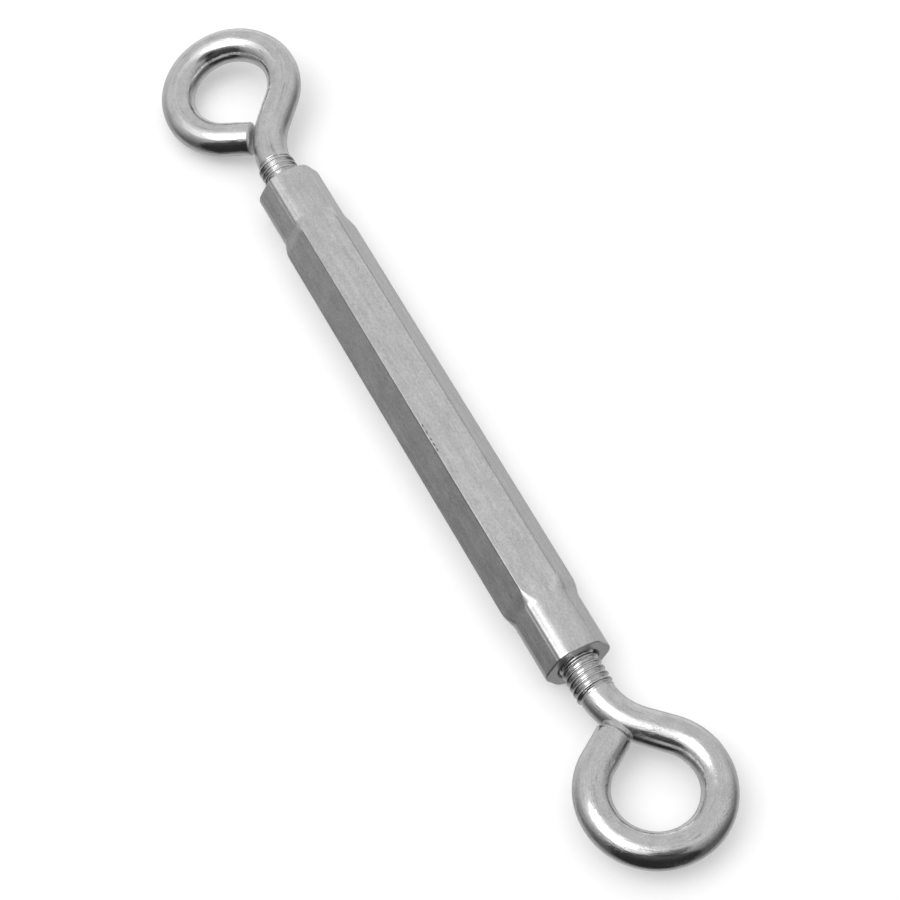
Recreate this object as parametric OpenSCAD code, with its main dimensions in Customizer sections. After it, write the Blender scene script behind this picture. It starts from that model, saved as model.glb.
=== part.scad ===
// Rigging turnbuckle: a hexagonal aluminium tube barrel, swaged and tapped at both
// ends, and two eye bolts bent from steel rod, one with a right-hand thread and one
// with a left-hand thread. Turning the barrel draws the two eyes together.
//
// Millimetres. The origin is the middle of the barrel, on the thread axis. +X runs
// along the barrel towards the right-hand bolt, and +Z is normal to one of the
// barrel's flats. Threads are plain cylinders of their major diameter.

/* [Barrel] */
// Length of the barrel over its end faces
barrel_len = 147; // [120:1:200]
// Hexagon size across its flats
hex_af = 16; // [13.4:0.1:22]
// How far swaging presses each flat of the hexagon in
flat_press = 0.4; // [0.2:0.05:1]
// How far swaging presses each corner of the hexagon in
corner_press = 1.14; // [0.5:0.01:1.5]
// Length of each swaged collar
collar_len = 14.6; // [8:0.1:25]
// Length of the taper between the hexagon and a collar
shoulder_len = 4.3; // [2:0.1:10]
// How far the tube's bore stands back from the thread, on its radius
tube_relief = 0.8; // [0.3:0.05:1.2]
// Countersink at each mouth of the barrel
mouth_chamfer = 0.3; // [0.1:0.1:1]

/* [Thread] */
// Major diameter of the rolled thread
thread_d = 9.4; // [7.8:0.1:11.3]
// Pitch of the thread, single start: how far a bolt moves in one turn
pitch = 1.5875; // [1:0.0125:2]
// Radial clearance between a bolt's thread and the tapped collar
thread_clear = 0.05; // [0.02:0.01:0.1]
// From the barrel's middle to the right-hand bolt's inner end, as it is drawn
inner_gap = 7; // [1:0.5:30]
// Chamfer on the inner end of each bolt
tip_chamfer = 0.8; // [0.2:0.1:1.5]

/* [Eye bolts] */
// Diameter of the plain rod
rod_d = 8.4; // [7:0.1:10.1]
// Inside diameter of each eye
eye_id = 19.3; // [14:0.1:26]
// Radius of the neck's bend, on the centre line of the rod
neck_bend_r = 17.6; // [10:0.1:22]
// How far the neck turns away from the shank before the eye begins
neck_angle = 44.3; // [35:0.1:50]
// Where the eye's arc stops and its straight end begins, round from the shank
eye_arc_end = 327; // [300:1:332]
// Gap between the cut end of the rod and the neck
end_gap = 0.3; // [0.1:0.1:2]
// Chamfer on the cut end of the rod
end_chamfer = 0.4; // [0.1:0.1:1]

/* [As drawn] */
// Straight shank still showing when a bolt is screwed home
home_gap = 0.95; // [0.8:0.05:3]
// Turns that the right-hand bolt is screwed out from there
rh_turns_out = 4; // [0:0.01:25]
// Turns that the left-hand bolt is screwed out from there
lh_turns_out = 3.59; // [0:0.01:25]
// Turn of the right-hand eye about the axis, from the barrel's flat
rh_eye_turn = 0; // [-180:0.1:180]
// Turn of the left-hand eye about the axis, from the barrel's flat
lh_eye_turn = 13.1; // [-180:0.1:180]

/* [Hidden] */

// Segments in a full turn of a bore or a rod, and of a bend
round_fn = 64;
bend_fn = 128;
// How far a cut runs past the face that it opens
overcut = 1;
// Gap between a bend and a straight, inside the band that ties them together
joint_gap = 0.05;
// Length of that band and its height over the rod
band_len = 4 * joint_gap;
band_lift = 0.02;
// How far the swaged ends' envelope stands clear of the hexagon's corners
corner_clear = 0.2;

// Barrel
half_len = barrel_len / 2;
hex_r = hex_af / sqrt(3);
envelope_r = hex_r + corner_clear;
collar_r = hex_r - corner_press;
collar_af = hex_af - 2 * flat_press;
tapped_len = collar_len + shoulder_len;
tapped_r = thread_d / 2 + thread_clear;
tube_r = thread_d / 2 + tube_relief;
prism_len = barrel_len - 2 * tapped_len;

// Threaded shank: its last two turns, inside the barrel, are the node "..._shank_end"
rh_shank_out = home_gap + rh_turns_out * pitch;
lh_shank_out = home_gap + lh_turns_out * pitch;
shank_end_len = 2 * pitch;
shank_len = half_len - inner_gap + rh_shank_out;
run_out = 0.4 * pitch;

// Eye and neck, on the centre line of the rod, from the point where the neck begins
eye_r = (eye_id + rod_d) / 2;
neck_end = neck_bend_r * [sin(neck_angle), 1 - cos(neck_angle)];
neck_straight = (eye_r * cos(neck_angle) - neck_end[1]) / sin(neck_angle);
eye_x = neck_end[0] + neck_straight * cos(neck_angle) + eye_r * sin(neck_angle);
eye_arc_start = 90 - neck_angle;

// The straight end runs on from the arc until its cut face is end_gap from the neck
tail_from = [eye_x - eye_r * cos(eye_arc_end), eye_r * sin(eye_arc_end)];
tail_heading = 90 - eye_arc_end;
tail_dir = [cos(tail_heading), sin(tail_heading)];
to_tail = tail_from - [0, neck_bend_r];
reach = neck_bend_r + rod_d / 2 + end_gap;
along = to_tail * tail_dir;
tail_len = -along - sqrt(along * along - to_tail * to_tail + reach * reach);

steel = [0.76, 0.77, 0.78];
alloy = [0.70, 0.71, 0.72];

// A hexagonal bar along X, from x = 0, with two of its flats facing Z
module hex_bar(r, len) {
    rotate([0, 90, 0]) rotate([0, 0, 30]) cylinder(r = r, h = len, $fn = 6);
}

// A round bar or cone along X, from x = 0
module round_bar(r1, r2, len) {
    rotate([0, 90, 0]) cylinder(r1 = r1, r2 = r2, h = len, $fn = round_fn);
}

// The round envelope that rounds the corners of both swaged ends
module turned_envelope() {
    rotate([0, 90, 0]) rotate_extrude($fn = bend_fn) polygon([
        [0, -half_len],
        [collar_r, -half_len],
        [collar_r, collar_len - half_len],
        [envelope_r, tapped_len - half_len],
        [envelope_r, half_len - tapped_len],
        [collar_r, half_len - collar_len],
        [collar_r, half_len],
        [0, half_len],
    ]);
}

// What swaging presses one flat in by, from the shoulder out to the end face
module pressed_flat() {
    translate([0, hex_af, 0]) rotate([90, 0, 0]) linear_extrude(2 * hex_af) polygon([
        [half_len - tapped_len, hex_af / 2],
        [half_len - collar_len, collar_af / 2],
        [half_len + overcut, collar_af / 2],
        [half_len + overcut, hex_af],
        [half_len - tapped_len, hex_af],
    ]);
}

// The tapped bore of the +X end, from the tube's bore out, with its countersink
module tapped_hole() {
    translate([half_len - tapped_len - overcut, 0, 0])
        round_bar(tapped_r, tapped_r, tapped_len + 2 * overcut);
    translate([half_len - mouth_chamfer, 0, 0])
        round_bar(tapped_r, tapped_r + mouth_chamfer + overcut, mouth_chamfer + overcut);
}

module barrel() {
    color(alloy) difference() {
        intersection() {
            translate([-half_len, 0, 0]) hex_bar(hex_r, barrel_len);
            turned_envelope();
        }
        for (end = [0, 180], flat = [0:60:300])
            rotate([flat, 0, end]) pressed_flat();
        translate([-prism_len / 2, 0, 0]) round_bar(tube_r, tube_r, prism_len);
        for (end = [0, 180])
            rotate([0, 0, end]) tapped_hole();
    }
}

// A bend in the rod about the Z axis, from angle a1 to angle a2
module rod_bend(r, a1, a2) {
    rotate([0, 0, a1])
        rotate_extrude(angle = a2 - a1, $fn = bend_fn)
            translate([r, 0]) circle(d = rod_d, $fn = round_fn);
}

// One eye bolt, its shank along X, with the neck beginning at the origin
module eye_bolt() {
    thread_len = shank_len - shank_end_len;
    translate([-thread_len, 0, 0])
        round_bar(thread_d / 2, thread_d / 2, thread_len - run_out);
    translate([-run_out, 0, 0]) round_bar(thread_d / 2, rod_d / 2, run_out);
    translate([0, neck_bend_r, 0]) rod_bend(neck_bend_r, -90, neck_angle - 90);
    translate([neck_end[0], neck_end[1], 0]) rotate([0, 0, neck_angle]) {
        joint_band();
        translate([joint_gap, 0, 0])
            round_bar(rod_d / 2, rod_d / 2, neck_straight - 2 * joint_gap);
        translate([neck_straight, 0, 0]) joint_band();
    }
    translate([eye_x, 0, 0]) rod_bend(eye_r, 180 - eye_arc_end, 180 - eye_arc_start);
    translate([tail_from[0], tail_from[1], 0]) rotate([0, 0, tail_heading]) tail();
}

// A hair-thin band that ties a bend to the straight beyond it, so they are one solid
module joint_band() {
    rotate([0, 90, 0])
        cylinder(r = rod_d / 2 + band_lift, h = band_len, center = true, $fn = round_fn);
}

// The straight end of the rod, with its cut face chamfered
module tail() {
    joint_band();
    translate([joint_gap, 0, 0])
        round_bar(rod_d / 2, rod_d / 2, tail_len - end_chamfer - joint_gap);
    translate([tail_len - end_chamfer, 0, 0])
        round_bar(rod_d / 2, rod_d / 2 - end_chamfer, end_chamfer);
}

// The innermost stretch of a bolt's thread, with its chamfered end
module shank_end() {
    translate([-shank_len, 0, 0]) {
        round_bar(thread_d / 2 - tip_chamfer, thread_d / 2, tip_chamfer);
        translate([tip_chamfer, 0, 0])
            round_bar(thread_d / 2, thread_d / 2, shank_end_len - tip_chamfer);
    }
}

// Puts a bolt in its end of the barrel: side 1 is the right-hand end, -1 the left
module placed(side) {
    out = side > 0 ? rh_shank_out : lh_shank_out;
    turn = side > 0 ? rh_eye_turn : lh_eye_turn;
    rotate([turn, 0, 0]) rotate([0, side > 0 ? 0 : 180, 0])
        translate([half_len + out, 0, 0]) children();
}

module rh_eye_bolt() {
    color(steel) placed(1) eye_bolt();
}

module lh_eye_bolt() {
    color(steel) placed(-1) eye_bolt();
}

module rh_shank_end() {
    color(steel) placed(1) shank_end();
}

module lh_shank_end() {
    color(steel) placed(-1) shank_end();
}

barrel();
rh_eye_bolt();
lh_eye_bolt();
rh_shank_end();
lh_shank_end();
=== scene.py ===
"""Rigging turnbuckle: a hexagonal aluminium barrel, swaged and tapped at both ends,
and two zinc plated eye bolts, one with a right-hand and one with a left-hand thread.

Metres. The thread axis is the X axis, and the right-hand bolt is at the +X end.
Each of the three real pieces is one surface, worked out as arrays over a grid.
"""

import math

import bpy
import numpy as np
from mathutils import Matrix, Vector


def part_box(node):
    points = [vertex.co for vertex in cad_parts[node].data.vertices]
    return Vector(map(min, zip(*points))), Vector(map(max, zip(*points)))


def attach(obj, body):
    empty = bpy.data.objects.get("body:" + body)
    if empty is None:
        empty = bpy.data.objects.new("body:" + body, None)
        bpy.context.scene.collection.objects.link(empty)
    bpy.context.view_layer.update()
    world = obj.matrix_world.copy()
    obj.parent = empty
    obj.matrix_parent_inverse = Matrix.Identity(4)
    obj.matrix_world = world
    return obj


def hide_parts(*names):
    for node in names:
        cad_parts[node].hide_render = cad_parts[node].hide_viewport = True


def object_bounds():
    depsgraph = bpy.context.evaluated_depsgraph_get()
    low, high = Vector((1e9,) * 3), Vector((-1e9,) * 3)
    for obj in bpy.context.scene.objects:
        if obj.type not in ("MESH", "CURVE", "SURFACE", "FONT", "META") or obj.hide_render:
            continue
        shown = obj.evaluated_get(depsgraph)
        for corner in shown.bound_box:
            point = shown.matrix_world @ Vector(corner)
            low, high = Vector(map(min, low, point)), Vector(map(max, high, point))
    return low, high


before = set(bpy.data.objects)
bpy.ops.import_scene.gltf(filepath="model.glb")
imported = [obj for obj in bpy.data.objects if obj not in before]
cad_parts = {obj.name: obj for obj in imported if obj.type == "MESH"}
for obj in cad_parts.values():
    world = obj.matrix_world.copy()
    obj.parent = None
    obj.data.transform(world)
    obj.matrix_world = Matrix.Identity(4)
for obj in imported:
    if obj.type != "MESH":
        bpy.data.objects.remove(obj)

CAD_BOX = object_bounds()
MM = 0.001

# The rod and the way it is bent, on its centre line
ROD_R = 4.2 * MM
NECK_BEND_R = 17.6 * MM
NECK_ANGLE = math.radians(44.3)
EYE_R = 13.85 * MM
EYE_ARC_END = math.radians(327)
TAIL_LEN = 7.37 * MM
CUT_EDGE_R = 0.65 * MM
LH_EYE_TURN = math.radians(13.1)

# What the bending tools leave on the rod. Each place is from the start of the eye: where
# the mark is full from and to, then how long it takes to rise and to fall
SQUEEZE_DEPTH = 0.06 * MM
SQUEEZE_PLACE = (3 * MM, 15 * MM, 4 * MM, 4 * MM)
CLAMP_STEP = 0.07 * MM
CLAMP_PLACE = (-3 * MM, 9 * MM, 4 * MM, 0.5 * MM)
WAVE_HEIGHT = 0.015 * MM
LONG_WAVE = 3.1 * MM
SHORT_WAVE = 1.7 * MM

# The rolled thread
PITCH = 1.5875 * MM
CREST_R = 4.68 * MM
ROOT_R = 3.85 * MM
SHANK_INSIDE = 66.5 * MM
RH_SHANK_OUT = 7.3 * MM
LH_SHANK_OUT = 6.65 * MM
SHANK_LEN = SHANK_INSIDE + RH_SHANK_OUT
TIP_CHAMFER = 0.8 * MM
RUN_OUT = 1.7 * MM
FADE_LEN = 1.4 * MM
# Where a flank starts and ends, on the way from the middle of a root (0) to a crest (1)
FLANK_FROM, FLANK_TO = 0.04, 0.9
# Where a crest of each thread crosses the plane of the eye, from the start of the neck
RH_CREST_AT = -0.45 * MM
LH_CREST_AT = -0.35 * MM

# The barrel's outside
HALF_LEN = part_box("barrel")[1].x
HEX_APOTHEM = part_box("barrel")[1].z
HEX_EDGE_R = 0.22 * MM
COLLAR_APOTHEM = 7.6 * MM
COLLAR_EDGE_R = 4.3 * MM
COLLAR_LEN = 14.6 * MM
SHOULDER_LEN = 4.3 * MM
TAPPED_LEN = COLLAR_LEN + SHOULDER_LEN
PRISM_END = HALF_LEN - TAPPED_LEN
RIM_R = 0.3 * MM
# A flat is pressed in over this length, and this much later at its edges
PRESS_LEN = 4.0 * MM
PRESS_LAG = 0.5 * MM
# How far the edge radius lags behind an even taper along the shoulder
EDGE_LAG = 0.35

# The barrel's inside
TUBE_R = 5.5 * MM
TAP_GAP = 0.16 * MM
TAP_FLAT = 0.12
MOUTH_R = 5.3 * MM

# The flash where the swaging die parted, on the rounded edges after these two flats.
# Its place round an edge is in degrees from the flat: full from and to, rise and fall
PARTING_SIDES = [1, 4]
FLASH_HEIGHT = 0.1 * MM
FLASH_PLACE = (37, 55, 4, 4)
SEAM_DEPTH = 0.08 * MM
SEAM_AT, SEAM_WIDTH = 45, 2.4

# Nicks in the top flat beside its upper edge: their place across the flat (-1 to 1),
# full from and to, rise and fall, then each one's place along and half length
TOP_SIDE = 1
NICKS_ACROSS = (0.94, 0.97, 0.06, 0.03)
NICKS = [
    (7.1 * MM, 0.35 * MM),
    (9.1 * MM, 0.5 * MM),
    (11.2 * MM, 0.35 * MM),
    (12.8 * MM, 0.5 * MM),
    (14.3 * MM, 0.35 * MM),
]
NICK_DEPTH = 0.05 * MM

# How dark the painted shade is, from 0 to 1, beside the hexagon's edges, in the flash's seam and
# in the bore
EDGE_PAINTED_SHADE = 0.6
SEAM_PAINTED_SHADE = 0.5
BORE_PAINTED_SHADE = 0.75

# Where the points of a mesh lie across a flat (-1 to 1), and how many round an edge
FLAT_PLACES = np.array([-1, -0.9, -0.6, -0.2, 0.2, 0.6, 0.84, 0.9, 0.935, 0.965, 1])
EDGE_STEPS = 18


def smooth_step(value, start, end):
    """Rises from 0 at start to 1 at end along a cubic that is level at both."""
    t = np.clip((value - start) / (end - start), 0, 1)
    return t * t * (3 - 2 * t)


def plateau(value, start, end, rise, fall):
    """1 from start to end, after a smooth rise and before a smooth fall."""
    return smooth_step(value, start - rise, start) * smooth_step(value, end + fall, end)


def bump_at(value, centre, width):
    """A smooth hump of height 1 at centre, about width wide either side."""
    return np.exp(-(((value - centre) / width) ** 2))


def unit(angle):
    """The unit vector (cos, sin) at each angle, on a last axis of two."""
    return np.stack([np.cos(angle), np.sin(angle)], axis=-1)


# ---------------------------------------------------------------- meshes


def grid_mesh(name, points, closed_path=False, poles=None, attributes=None):
    """A mesh over a grid of points (station along a path, step around it).

    Every ring is closed. The path is closed too for a tube turned back into itself,
    or it ends in two poles, which are single points that close the first and last
    ring with triangles. Faces point outwards when the rings run anticlockwise, seen
    looking back along the path.
    """
    stations, around, _ = points.shape
    number = np.arange(stations * around).reshape(stations, around)
    if closed_path:
        near, far = number, np.roll(number, -1, axis=0)
    else:
        near, far = number[:-1], number[1:]
    quads = np.stack(
        [near, np.roll(near, -1, axis=1), np.roll(far, -1, axis=1), far], axis=-1
    ).reshape(-1, 4)
    corners = quads.ravel()
    sizes = np.full(len(quads), 4)
    vertices = points.reshape(-1, 3)
    if poles is not None:
        first, last = stations * around, stations * around + 1
        start, end = number[0], number[-1]
        fan_start = np.stack([np.full(around, first), np.roll(start, -1), start], axis=-1)
        fan_end = np.stack([np.full(around, last), end, np.roll(end, -1)], axis=-1)
        corners = np.concatenate([corners, fan_start.ravel(), fan_end.ravel()])
        sizes = np.concatenate([sizes, np.full(2 * around, 3)])
        vertices = np.concatenate([vertices, poles])
    mesh = bpy.data.meshes.new(name)
    mesh.vertices.add(len(vertices))
    mesh.vertices.foreach_set("co", vertices.astype(np.float32).ravel())
    mesh.loops.add(len(corners))
    mesh.loops.foreach_set("vertex_index", corners.astype(np.int32))
    mesh.polygons.add(len(sizes))
    mesh.polygons.foreach_set("loop_start", (np.cumsum(sizes) - sizes).astype(np.int32))
    mesh.polygons.foreach_set("use_smooth", np.ones(len(sizes), bool))
    mesh.update(calc_edges=True)
    for label, (kind, field, values) in (attributes or {}).items():
        layer = mesh.attributes.new(label, kind, "POINT")
        layer.data.foreach_set(field, values.astype(np.float32).ravel())
    mesh.validate()
    piece = bpy.data.objects.new(name, mesh)
    bpy.context.scene.collection.objects.link(piece)
    return piece


# ---------------------------------------------------------------- thread


def thread_rise(turns):
    """How far up its flank a rolled thread is, from 0 in the root to 1 on the crest.

    A crest lies at every whole number of turns. The flanks are a cubic between a
    short round root and a slightly wider round crest.
    """
    from_root = np.abs(np.mod(turns, 1) - 0.5) * 2
    return smooth_step(from_root, FLANK_FROM, FLANK_TO)


# ---------------------------------------------------------------- eye bolts

# Distances along the bar, from the start of the neck, and its bends as (length, turn)
EYE_ARC_START = math.pi / 2 - NECK_ANGLE
NECK_STRAIGHT = (
    EYE_R * math.cos(NECK_ANGLE) - NECK_BEND_R * (1 - math.cos(NECK_ANGLE))
) / math.sin(NECK_ANGLE)
NECK_END = NECK_BEND_R * NECK_ANGLE
EYE_FROM = NECK_END + NECK_STRAIGHT
EYE_TO = EYE_FROM + EYE_R * (EYE_ARC_END - EYE_ARC_START)
ROD_END = EYE_TO + TAIL_LEN
ROD_BENDS = [
    (NECK_END, NECK_ANGLE),
    (NECK_STRAIGHT, 0.0),
    (EYE_TO - EYE_FROM, EYE_ARC_START - EYE_ARC_END),
]


def bent_bar(bends, s):
    """Centre line of a bar bent in one plane, at distances s from where it starts.

    bends is a list of (length, turn). Within one, the heading grows evenly from
    nothing to turn, so it is an arc of radius length / turn, or a straight when turn
    is 0. The place on an arc is its chord: 2 r sin(half the turn so far) long, at the
    heading there was at the start plus half the turn so far. Beyond either end the
    bar runs straight on. Returns the points and the headings.
    """
    x, y, heading = s * 1.0, s * 0.0, s * 0.0
    at, start, facing = np.zeros(2), 0.0, 0.0
    for length, turn in bends + [(1.0, 0.0)]:
        here = s >= start
        run = s[here] - start
        part = np.clip(run / length, 0, 1) * turn
        chord = run if turn == 0 else 2 * length / turn * np.sin(part / 2)
        x[here] = at[0] + chord * np.cos(facing + part / 2)
        y[here] = at[1] + chord * np.sin(facing + part / 2)
        heading[here] = facing + part
        whole = length if turn == 0 else 2 * length / turn * math.sin(turn / 2)
        at = at + whole * unit(facing + turn / 2)
        start, facing = start + length, facing + turn
    return np.stack([x, y, x * 0], axis=-1), heading


def bolt_radius(s, angle, hand, crest_at):
    """Radius of an eye bolt at distance s past the start of its neck.

    The plain rod carries the thread's rise and fall up to the run-out, where it fades.
    The bending tools leave it slightly out of round: squeezed on the inside of the
    eye's first part, with a low step on its outside where the clamp ended, and a few
    hundredths of a millimetre of slow waviness all over.
    """
    threaded = smooth_step(s, RUN_OUT, RUN_OUT - FADE_LEN)
    turns = (s - crest_at) / PITCH - hand * angle / (2 * math.pi)
    profile = ROOT_R + (CREST_R - ROOT_R) * thread_rise(turns)
    outside = 0.5 + 0.5 * np.cos(angle)
    inside = 1 - outside
    squeezed = plateau(s - EYE_FROM, *SQUEEZE_PLACE)
    clamped = plateau(s - EYE_FROM, *CLAMP_PLACE)
    long_wave = np.sin(s / LONG_WAVE + 2 * np.sin(angle))
    short_wave = np.sin(s / SHORT_WAVE + 3 * angle)
    rod = (
        ROD_R
        - SQUEEZE_DEPTH * squeezed * inside**6
        + CLAMP_STEP * clamped * outside**3
        + WAVE_HEIGHT * (long_wave + 0.8 * short_wave)
    )
    return threaded * profile + (1 - threaded) * rod


def eye_bolt(name, hand, crest_at):
    """An eye bolt lying in the XY plane, with its neck starting at the origin.

    The surface is a circle carried along the bent centre line: the point at distance
    s and angle a is the centre plus radius(s, a) times (normal cos a + Z sin a). Both
    ends are flat discs that close on a pole, with a chamfer on the inner end and a
    rounded edge on the cut end. "bar" is where each point was on the straight bar.
    """
    threaded_step, plain_step, around = PITCH / 16, 0.45 * MM, 72
    beside_edge = 0.03 * MM
    disc = np.array([0.2, 0.5, 0.8, 0.97])
    tip = -SHANK_LEN
    tip_r = CREST_R - TIP_CHAMFER
    thread_to = RUN_OUT + 0.2 * MM
    plain_to = ROD_END - CUT_EDGE_R
    edge = np.linspace(0, math.pi / 2, 7)
    threaded = np.arange(tip + TIP_CHAMFER + 0.05 * MM, thread_to, threaded_step)
    plain = np.linspace(thread_to, plain_to, int((plain_to - thread_to) / plain_step))[:-1]
    stations = np.concatenate(
        [np.full(len(disc), tip), [tip, tip + beside_edge, tip + TIP_CHAMFER], threaded,
         plain, plain_to + CUT_EDGE_R * np.sin(edge), np.full(len(disc), ROD_END)]
    )
    limit = np.concatenate(
        [disc * tip_r, [tip_r, tip_r + beside_edge, CREST_R],
         np.full(len(threaded) + len(plain), 2 * CREST_R),
         ROD_R - CUT_EDGE_R * (1 - np.cos(edge)), disc[::-1] * (ROD_R - CUT_EDGE_R)]
    )
    s = stations[:, None]
    a = np.linspace(0, 2 * math.pi, around, endpoint=False)[None, :]
    radius = np.minimum(bolt_radius(s, a, hand, crest_at), limit[:, None])
    centre, heading = bent_bar(ROD_BENDS, stations)
    normal = np.stack([-np.sin(heading), np.cos(heading), heading * 0], axis=-1)
    up = np.array([0.0, 0.0, 1.0])
    across, rise = radius * np.cos(a), radius * np.sin(a)
    points = centre[:, None] + across[..., None] * normal[:, None] + rise[..., None] * up
    bar = np.stack([s + 0 * a, across, rise], axis=-1).reshape(-1, 3)
    bar = np.concatenate([bar, [[tip, 0, 0], [ROD_END, 0, 0]]])
    attributes = {"bar": ("FLOAT_VECTOR", "vector", bar)}
    return grid_mesh(name, points, poles=centre[[0, -1]], attributes=attributes)


def place_bolt(piece, side, shank_out, turn):
    """Puts a bolt in its end of the barrel, side 1 for +X and -1 for -X."""
    facing = Matrix.Identity(4) if side > 0 else Matrix.Rotation(math.pi, 4, "Y")
    out = Matrix.Translation(Vector((HALF_LEN + shank_out, 0, 0)))
    piece.data.transform(Matrix.Rotation(turn, 4, "X") @ facing @ out)
    return piece


# ---------------------------------------------------------------- barrel


def barrel_thread_turns(x, angle):
    """Turns of each end's thread at x and angle about +X, crests on whole numbers."""
    turned = angle / (2 * math.pi)
    lh_eye = LH_EYE_TURN / (2 * math.pi)
    rh = (x - HALF_LEN - RH_SHANK_OUT - RH_CREST_AT) / PITCH - turned
    lh = (x + HALF_LEN + LH_SHANK_OUT + LH_CREST_AT) / PITCH + turned - lh_eye
    return np.where(x > 0, rh, lh)


def bore_radius(x, angle):
    """Radius of the barrel's hole: a plain tube, then a tapped length at each end.

    The tapped length is the bolt's own thread with a small gap, its root shortened
    because a tap's crests are broad, and it opens into a countersink at the mouth.
    """
    depth = HALF_LEN - np.abs(x)
    rise = thread_rise(barrel_thread_turns(x, angle))
    tapped = ROOT_R + (CREST_R - ROOT_R) * np.maximum(rise, TAP_FLAT) + TAP_GAP
    in_tube = smooth_step(depth, TAPPED_LEN - 1 * MM, TAPPED_LEN)
    hole = tapped + (TUBE_R - tapped) * in_tube
    countersink = MOUTH_R - depth
    return np.maximum(hole, countersink)


def barrel_outline(x):
    """The barrel's outer skin at each x, as a rounded hexagon of points.

    A rounded hexagon is an inner hexagon pushed out along its normals by the edge
    radius. Each of the six sides is a row of points along one flat and then one
    rounded edge, whose normal swings through 60 degrees. From the hexagon to the
    collar the flats are pressed in, first at their middle, and the edge radius grows.
    Returns the points and how dark each is with painted shade, which lies in the nicks,
    in the flash's seam and along one side of each edge of the hexagon.
    """
    flat_steps = len(FLAT_PLACES)
    along = np.concatenate([FLAT_PLACES, np.ones(EDGE_STEPS)])
    swing = np.concatenate([np.zeros(flat_steps), np.linspace(0, 60, EDGE_STEPS + 2)[1:-1]])
    side = np.repeat(np.arange(6), flat_steps + EDGE_STEPS)
    along, swing = np.tile(along, 6), np.tile(swing, 6)
    flat_angle = np.radians(30 + 60 * side)
    facing = flat_angle + np.radians(swing)

    past = np.abs(x)[:, None] - PRISM_END
    later = PRESS_LAG * along[None, :] ** 2
    pressed = smooth_step(past, later, later + PRESS_LEN)
    taper = np.clip(past / SHOULDER_LEN, 0, 1)
    apothem = HEX_APOTHEM - (HEX_APOTHEM - COLLAR_APOTHEM) * pressed
    rounded = taper - EDGE_LAG * taper * (1 - taper)
    edge_r = HEX_EDGE_R + (COLLAR_EDGE_R - HEX_EDGE_R) * rounded

    nick = nicked(x, side, along, swing)
    on_collar = smooth_step(taper, 0.75, 1.0)
    parting = np.isin(side, PARTING_SIDES) * on_collar
    seam = bump_at(swing, SEAM_AT, SEAM_WIDTH)
    strip = plateau(swing, *FLASH_PLACE)
    marks = parting * (FLASH_HEIGHT * strip - SEAM_DEPTH * seam) - NICK_DEPTH * nick

    rim = np.clip(1 - (HALF_LEN - np.abs(x)) / RIM_R, 0, 1)[:, None]
    lift = edge_r - RIM_R * (1 - np.sqrt(1 - rim**2)) + marks
    half_side = (apothem - edge_r) * math.tan(math.radians(30))
    out = (apothem - edge_r)[..., None] * unit(flat_angle)
    sideways = (along * half_side)[..., None] * unit(flat_angle + math.pi / 2)
    section = out + sideways + lift[..., None] * unit(facing)

    beside_ridge = (along == -1) * (swing == 0) * smooth_step(past, 1 * MM, 0)
    # Painted shade: the nicks, the flash's seam and one side of each hexagon edge are darkened in
    # colour
    painted_shade = np.minimum(nick + EDGE_PAINTED_SHADE * beside_ridge + SEAM_PAINTED_SHADE * parting * seam, 1)
    return section, painted_shade


def nicked(x, side, along, swing):
    """How deep in a nick each point is, from 0 to 1."""
    rows = sum(bump_at(x[:, None], place, length) for place, length in NICKS)
    return rows * (side == TOP_SIDE) * (swing == 0) * plateau(along, *NICKS_ACROSS)


def barrel_stations():
    """Where the rings of the outer skin lie, close together where it changes shape."""
    nicks_from, nicks_to, nick_step = 6 * MM, 16 * MM, 0.2 * MM
    middle = np.linspace(0, nicks_from, 3)[:-1]
    nicks = np.arange(nicks_from, nicks_to - nick_step / 2, nick_step)
    prism = np.linspace(nicks_to, PRISM_END - 0.1 * MM, 24)
    shoulder = np.linspace(PRISM_END, PRISM_END + SHOULDER_LEN, 26)
    collar = np.linspace(PRISM_END + SHOULDER_LEN, HALF_LEN - RIM_R, 32)[1:]
    rim = HALF_LEN - RIM_R * (1 - np.sin(np.linspace(0, math.pi / 2, 5)[1:]))
    half = np.concatenate([middle, nicks, prism, shoulder, collar, rim])
    return np.concatenate([-half[:0:-1], half])


def rings(x, section):
    """Rings of points: the outline section[i], in Y and Z, at the place x[i]."""
    along = np.broadcast_to(x[:, None, None], section.shape[:2] + (1,))
    return np.concatenate([along, section], axis=-1)


def barrel():
    """The barrel as one closed skin: out along the hexagon, over one end face, back
    along the tapped and plain bore, and over the other end face to the start.
    """
    x_out = barrel_stations()
    section, skin_painted_shade = barrel_outline(x_out)
    skin = rings(x_out, section)

    direction = np.arctan2(section[0, :, 1], section[0, :, 0])
    tapped = np.arange(0, TAPPED_LEN, PITCH / 10)
    depth = np.concatenate([tapped, np.linspace(TAPPED_LEN, HALF_LEN - 1 * MM, 8)])
    x_in = np.concatenate([HALF_LEN - depth, depth[::-1] - HALF_LEN])
    radius = bore_radius(x_in[:, None], direction[None, :])
    bore = rings(x_in, radius[..., None] * unit(direction))

    shares = np.array([0.03, 0.25, 0.5, 0.75, 0.97])[:, None, None]
    face_rh = skin[-1] + (bore[0] - skin[-1]) * shares
    face_lh = bore[-1] + (skin[0] - bore[-1]) * shares
    points = np.concatenate([skin, face_rh, bore, face_lh])
    # How dark each point is with painted shade, kept on the mesh for the aluminium's colour; the
    # whole bore is painted dark as shade
    painted_shade = np.zeros(points.shape[:2])
    painted_shade[: len(skin)] = skin_painted_shade
    painted_shade[len(skin) + len(shares) : -len(shares)] = BORE_PAINTED_SHADE
    attributes = {"painted_shade": ("FLOAT", "value", painted_shade)}
    return grid_mesh("barrel_hexagon_tube", points, closed_path=True, attributes=attributes)


# ---------------------------------------------------------------- finishes

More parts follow.
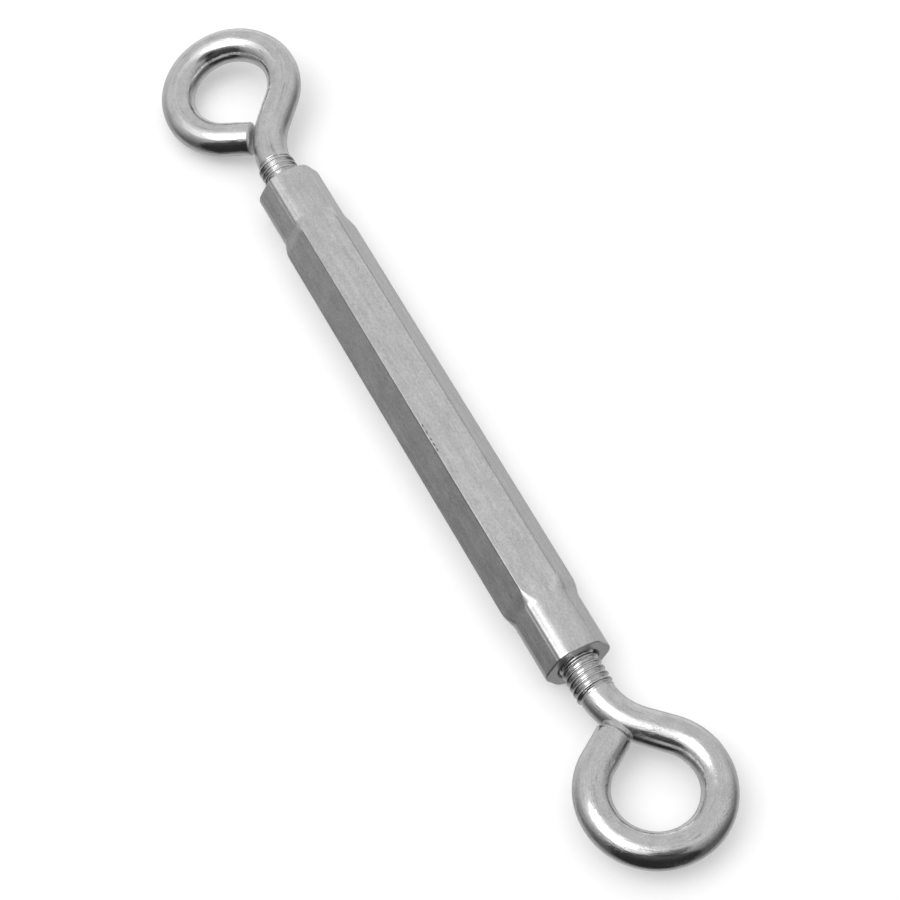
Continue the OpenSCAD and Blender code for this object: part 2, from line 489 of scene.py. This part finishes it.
DULL_ALUMINIUM = (0.66, 0.66, 0.665)
BRIGHT_ALUMINIUM = (0.98, 0.98, 0.985)
# The colour of the painted shade in the barrel's nicks, seam, edges and bore
PAINTED_SHADE_COLOUR = (0.12, 0.12, 0.12)
DULL_ZINC = (0.5, 0.5, 0.505)
BRIGHT_ZINC = (0.98, 0.98, 0.985)
PALE_BOARD = (0.93, 0.93, 0.93)
PALER_BOARD = (0.95, 0.95, 0.95)


class Shade:
    """A value in a node tree. Arithmetic on it adds Math nodes."""

    def __init__(self, tree, socket):
        self.tree = tree
        self.socket = socket

    def math(self, operation, *values):
        """A Math node of this operation on the values."""
        inputs = dict(enumerate(values))
        return self.tree.node("ShaderNodeMath", {"operation": operation}, inputs)

    def __add__(self, other):
        return self.math("ADD", self, other)

    def __sub__(self, other):
        return self.math("SUBTRACT", self, other)

    def __mul__(self, other):
        return self.math("MULTIPLY", self, other)

    def __rsub__(self, other):
        return self.math("SUBTRACT", other, self)

    def __pow__(self, other):
        return self.math("POWER", self, other)

    def __abs__(self):
        return self.math("ABSOLUTE", self)

    __radd__ = __add__
    __rmul__ = __mul__


class Tree:
    """A node tree, of a material or of the world, that is written as expressions."""

    def __init__(self, owner):
        owner.use_nodes = True
        self.nodes = owner.node_tree.nodes
        self.links = owner.node_tree.links
        self.nodes.clear()

    def node(self, kind, settings=None, inputs=None, output=0):
        """Adds a node, sets its settings, then fills its inputs with values or links."""
        made = self.nodes.new(kind)
        for name, value in (settings or {}).items():
            setattr(made, name, value)
        for key, value in (inputs or {}).items():
            if isinstance(value, Shade):
                self.links.new(value.socket, made.inputs[key])
            else:
                made.inputs[key].default_value = value
        return Shade(self, made.outputs[output]) if len(made.outputs) else made

    def object_place(self):
        """Place on the piece, in metres."""
        return self.node("ShaderNodeTexCoord", output="Object")

    def attribute(self, name, output):
        """A value kept on the mesh's points."""
        settings = {"attribute_type": "GEOMETRY", "attribute_name": name}
        return self.node("ShaderNodeAttribute", settings, output=output)

    def parts(self, vector):
        """The three numbers of a vector."""
        split = self.node("ShaderNodeSeparateXYZ", None, {0: vector})
        return [Shade(self, out) for out in split.socket.node.outputs]

    def vector(self, x, y, z):
        """A vector from three numbers."""
        return self.node("ShaderNodeCombineXYZ", None, {0: x, 1: y, 2: z})

    def stretched(self, vector, factors):
        """A vector with each of its numbers multiplied."""
        settings = {"operation": "MULTIPLY"}
        return self.node("ShaderNodeVectorMath", settings, {0: vector, 1: factors})

    def along(self, vector, way):
        """How far a vector goes along a unit direction."""
        settings = {"operation": "DOT_PRODUCT"}
        return self.node("ShaderNodeVectorMath", settings, {0: vector, 1: way}, "Value")

    def noise(self, place, size, detail=3.0, rough=0.5):
        """Soft noise from 0 to 1 whose lumps are about size metres, or one size per axis."""
        sizes = size if isinstance(size, tuple) else (size, size, size)
        scaled = self.stretched(place, tuple(1 / each for each in sizes))
        inputs = {"Vector": scaled, "Scale": 1.0, "Detail": detail, "Roughness": rough}
        return self.node("ShaderNodeTexNoise", None, inputs)

    def step(self, value, start, end):
        """Smooth rise from 0 at start to 1 at end."""
        settings = {"interpolation_type": "SMOOTHSTEP"}
        return self.node("ShaderNodeMapRange", settings, {"Value": value, 1: start, 2: end})

    def pits(self, place, cell, radius):
        """1 in small round spots, about one to each cell metres across."""
        scaled = self.stretched(place, (1 / cell, 1 / cell, 1 / cell))
        inputs = {"Vector": scaled, "Scale": 1.0}
        return self.step(self.node("ShaderNodeTexVoronoi", None, inputs), radius, radius * 0.4)

    def hairlines(self, place, size, width):
        """1 on thin curved lines, which are where soft noise crosses its middle value."""
        return self.step(abs(self.noise(place, size, 1.0) - 0.5), width, width * 0.2)

    def colour(self, factor, low, high):
        """The colour between low and high at factor.

        A Mix node has its colours on inputs 6 and 7 and on output 2.
        """
        high = high if isinstance(high, Shade) else (*high, 1)
        inputs = {0: factor, 6: (*low, 1), 7: high}
        return self.node("ShaderNodeMix", {"data_type": "RGBA"}, inputs, output=2)

    def finish(self, base, roughness, height, bump_depth, metallic=1.0):
        """The piece's shader, with its height turned into bump."""
        inputs = {"Height": height, "Distance": bump_depth, "Strength": 1.0}
        bump = self.node("ShaderNodeBump", None, inputs)
        inputs = {"Base Color": base, "Roughness": roughness, "Metallic": metallic, "Normal": bump}
        shader = self.node("ShaderNodeBsdfPrincipled", None, inputs)
        self.node("ShaderNodeOutputMaterial", None, {"Surface": shader})


def varied(middle, *swings):
    """A middle value, plus each noise's swing about its own middle times its weight."""
    value = middle
    for noise, weight in swings:
        value = value + (noise - 0.5) * weight
    return value


def satin_aluminium():
    """Extruded aluminium, dull from handling.

    Fine lines run along the barrel from the die, with cloudy dulling, small pits,
    hairline scratches, and rubbed chatter where the swaging die started to grip. The
    end faces are turned, in rings.
    """
    material = bpy.data.materials.new("satin_aluminium")
    tree = Tree(material)
    place = tree.object_place()
    x, y, z = tree.parts(place)
    drawn = tree.noise(place, (25 * MM, 0.2 * MM, 0.2 * MM), 3.0)
    bands = tree.noise(place, (70 * MM, 1.2 * MM, 1.2 * MM), 2.0)
    cloud = tree.noise(place, (5 * MM, 2.4 * MM, 2.4 * MM), 5.0, 0.62)
    grain = tree.noise(place, (0.8 * MM, 0.45 * MM, 0.45 * MM), 4.0, 0.7)
    pits = tree.pits(place, 4.4 * MM, 0.06) + tree.pits(place, 2.3 * MM, 0.05)
    scratched = tree.step(tree.noise(place, 5 * MM, 0.0), 0.55, 0.68)
    scratches = tree.hairlines(place, (3.5 * MM, 2 * MM, 2 * MM), 0.012) * scratched
    rub_marks = tree.hairlines(place, (1.2 * MM, 0.5 * MM, 0.5 * MM), 0.05)
    from_grip = abs(abs(x) - (PRISM_END - 1.5 * MM))
    chatter = tree.step(from_grip, 3 * MM, 0.5 * MM) * rub_marks
    from_axis = (y * y + z * z) ** 0.5
    on_face = tree.step(abs(x), HALF_LEN - 0.1 * MM, HALF_LEN)
    turned = tree.noise(tree.vector(from_axis, 0.0, 0.0), 0.16 * MM, 1.0) * on_face
    shade = varied(0.5, (bands, 0.8), (cloud, 0.9), (grain, 2.0), (drawn, 0.7))
    shade = shade - pits * 0.8 - scratches * 0.35 - turned * 1.2
    metal = tree.colour(shade, DULL_ALUMINIUM, BRIGHT_ALUMINIUM)
    # Painted shade darkens the metal in the nicks, the seam, beside the hexagon's edges and in the
    # bore
    base = tree.colour(1 - tree.attribute("painted_shade", "Fac"), PAINTED_SHADE_COLOUR, metal)
    rough = varied(0.33, (cloud, 0.25), (drawn, 0.15)) - scratches * 0.06
    height = drawn * 0.6 + grain * 0.5 + cloud * 0.4 + turned * 0.8
    height = height - pits * 1.2 - scratches * 0.3 - chatter * 0.4
    tree.finish(base, rough, height, bump_depth=0.012 * MM)
    return material


def bright_zinc():
    """Zinc plated steel rod, bright, over the streaks of drawing and bending.

    Everything follows the bar: fine drawing lines, streaks where the bending tools
    rubbed, pitted patches that the plating has not filled, and dull clouds. The cut
    end is duller.
    """
    material = bpy.data.materials.new("bright_zinc")
    tree = Tree(material)
    bar = tree.attribute("bar", "Vector")
    along_bar, _, _ = tree.parts(bar)
    drawn = tree.noise(bar, (14 * MM, 0.25 * MM, 0.25 * MM), 3.0)
    streaks = tree.noise(bar, (14 * MM, 1.0 * MM, 1.0 * MM), 4.0, 0.65)
    cloud = tree.noise(bar, 3.2 * MM, 4.0, 0.6)
    peel = tree.noise(bar, (0.9 * MM, 0.5 * MM, 0.5 * MM), 3.0, 0.65)
    pitted = tree.step(tree.noise(bar, (9 * MM, 2.4 * MM, 2.4 * MM), 2.0), 0.48, 0.66)
    pits = tree.pits(bar, 0.55 * MM, 0.3) * pitted
    grain = tree.noise(bar, (0.5 * MM, 0.25 * MM, 0.25 * MM), 4.0, 0.7)
    cut = tree.step(along_bar, ROD_END - CUT_EDGE_R, ROD_END - 0.6 * CUT_EDGE_R)
    rubbed = tree.step(tree.noise(bar, (7 * MM, 0.6 * MM, 0.6 * MM), 5.0, 0.7), 0.56, 0.7)
    shade = varied(0.75, (streaks, 0.7), (cloud, 0.8), (grain, 1.2))
    base = tree.colour(shade - pits * 0.5 - rubbed * 0.6, DULL_ZINC, BRIGHT_ZINC)
    rough = varied(0.12, (streaks, 0.16), (cloud, 0.12)) + pitted * 0.05 + cut * 0.35
    height = drawn * 0.3 + streaks * 1.5 + grain * 0.25 + peel * (0.5 + pitted * 1.3) - pits
    tree.finish(base, rough, height, bump_depth=0.03 * MM)
    return material


# ---------------------------------------------------------------- studio

# Directions from the object, as unit vectors
CAMERA_SIDE = (0.4523, -0.2199, 0.8644)
DARK_SIDE = (0.455, -0.109, -0.884)
SOFTBOX_SIDE = (-0.009, -0.474, 0.881)
NEAR_SIDE = (0.870, -0.490, -0.050)
VIEWER_SIDE = (0.605, -0.098, 0.790)
OVERHEAD = (0.0, 0.0, 1.0)

# How bright the room is on its dark side, and what each part of it adds or takes away
ROOM_DARK = 0.1
ROOM_OPEN = 0.44
ROOM_GLOW = 0.45
ROOM_BEYOND = 0.34
ROOM_VIEWER = 0.33
NEAR_SHADE = 0.75

CAMERA_PLACE = (0.2850, -0.1326, 0.5224)
CAMERA_UP = (-0.7621, 0.4082, 0.5026)
LENS_MM = 104.2
SENSOR_MM = 36

FLOOR_HALF = 1.6


def pale_floor():
    """A plain pale board under the barrel, with the faintest grain."""
    low, half = CAD_BOX[0].z, FLOOR_HALF
    corners = [(-half, -half, low), (half, -half, low), (half, half, low), (-half, half, low)]
    mesh = bpy.data.meshes.new("studio_floor")
    mesh.from_pydata(corners, [], [(0, 1, 2, 3)])
    board = bpy.data.objects.new("studio_floor", mesh)
    bpy.context.scene.collection.objects.link(board)
    material = bpy.data.materials.new("pale_board")
    tree = Tree(material)
    speck = tree.noise(tree.object_place(), 2 * MM, 2.0)
    base = tree.colour(speck, PALE_BOARD, PALER_BOARD)
    tree.finish(base, roughness=0.6, height=speck, bump_depth=0.005 * MM, metallic=0.0)
    mesh.materials.append(material)
    board.visible_glossy = False


def softbox(name, way, distance, across, watts, fill=False):
    """A round studio light at a distance from the origin, which it faces.

    A fill light lifts the board evenly, with no shadow and no highlight in the metal.
    """
    light = bpy.data.lights.new(name, "AREA")
    light.shape = "DISK"
    light.size = across
    light.energy = watts
    light.use_shadow = not fill
    lamp = bpy.data.objects.new(name, light)
    lamp.location = Vector(way) * distance
    lamp.rotation_mode = "QUATERNION"
    lamp.rotation_quaternion = Vector(way).to_track_quat("Z", "Y")
    lamp.visible_glossy = not fill
    bpy.context.scene.collection.objects.link(lamp)


def studio_world():
    """A soft grey room: dark low down on the near side and paler away from it.

    It is brighter round the softbox and beyond the object. It is darkest level with
    the object, off its right-hand end, and has a dark patch beside the camera.
    """
    world = bpy.data.worlds.new("studio_room")
    bpy.context.scene.world = world
    tree = Tree(world)
    direction = tree.node("ShaderNodeTexCoord", output="Generated")

    def part(side, start, end):
        """A part of the room, by how far its direction goes along a side."""
        return tree.step(tree.along(direction, side), start, end)

    open_side = part(DARK_SIDE, 0.45, -0.7)
    glow = part(SOFTBOX_SIDE, 0.78, 0.97)
    beyond = part(CAMERA_SIDE, -0.2, -0.8)
    viewer = part(VIEWER_SIDE, 0.94, 0.98)
    near = part(NEAR_SIDE, 0.62, 0.70)
    room = ROOM_DARK + open_side * ROOM_OPEN + glow * ROOM_GLOW
    room = room + beyond * ROOM_BEYOND - viewer * ROOM_VIEWER
    level = room * (1 - near * NEAR_SHADE)
    inputs = {"Color": (1, 1, 1, 1), "Strength": level}
    background = tree.node("ShaderNodeBackground", None, inputs)
    tree.node("ShaderNodeOutputWorld", None, {"Surface": background})


def studio_camera():
    """The camera, from its place and its three axes: right, up and back."""
    lens = bpy.data.cameras.new("studio_camera")
    lens.lens = LENS_MM
    lens.sensor_width = SENSOR_MM
    lens.clip_start = 0.01
    lens.clip_end = 20
    camera = bpy.data.objects.new("studio_camera", lens)
    back = Vector(CAMERA_SIDE).normalized()
    up = Vector(CAMERA_UP)
    up = (up - back * up.dot(back)).normalized()
    right = up.cross(back)
    turned = Matrix((right, up, back)).transposed().to_4x4()
    camera.matrix_world = Matrix.Translation(CAMERA_PLACE) @ turned
    bpy.context.scene.collection.objects.link(camera)
    bpy.context.scene.camera = camera


tube = barrel()
tube.data.materials.append(satin_aluminium())
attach(tube, "barrel")
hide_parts("barrel")

zinc = bright_zinc()
rh_bolt = place_bolt(eye_bolt("eye_bolt_right_hand", 1, RH_CREST_AT), 1, RH_SHANK_OUT, 0.0)
rh_bolt.data.materials.append(zinc)
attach(rh_bolt, "rh_eye_bolt")
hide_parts("rh_eye_bolt", "rh_shank_end")

lh_bolt = eye_bolt("eye_bolt_left_hand", -1, LH_CREST_AT)
place_bolt(lh_bolt, -1, LH_SHANK_OUT, LH_EYE_TURN)
lh_bolt.data.materials.append(zinc)
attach(lh_bolt, "lh_eye_bolt")
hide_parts("lh_eye_bolt", "lh_shank_end")

pale_floor()
studio_world()
softbox("ceiling_softbox", SOFTBOX_SIDE, distance=1.0, across=0.66, watts=1.5)
softbox("board_light", OVERHEAD, distance=1.4, across=2.4, watts=17, fill=True)
studio_camera()
bpy.context.scene.view_settings.view_transform = "Standard"
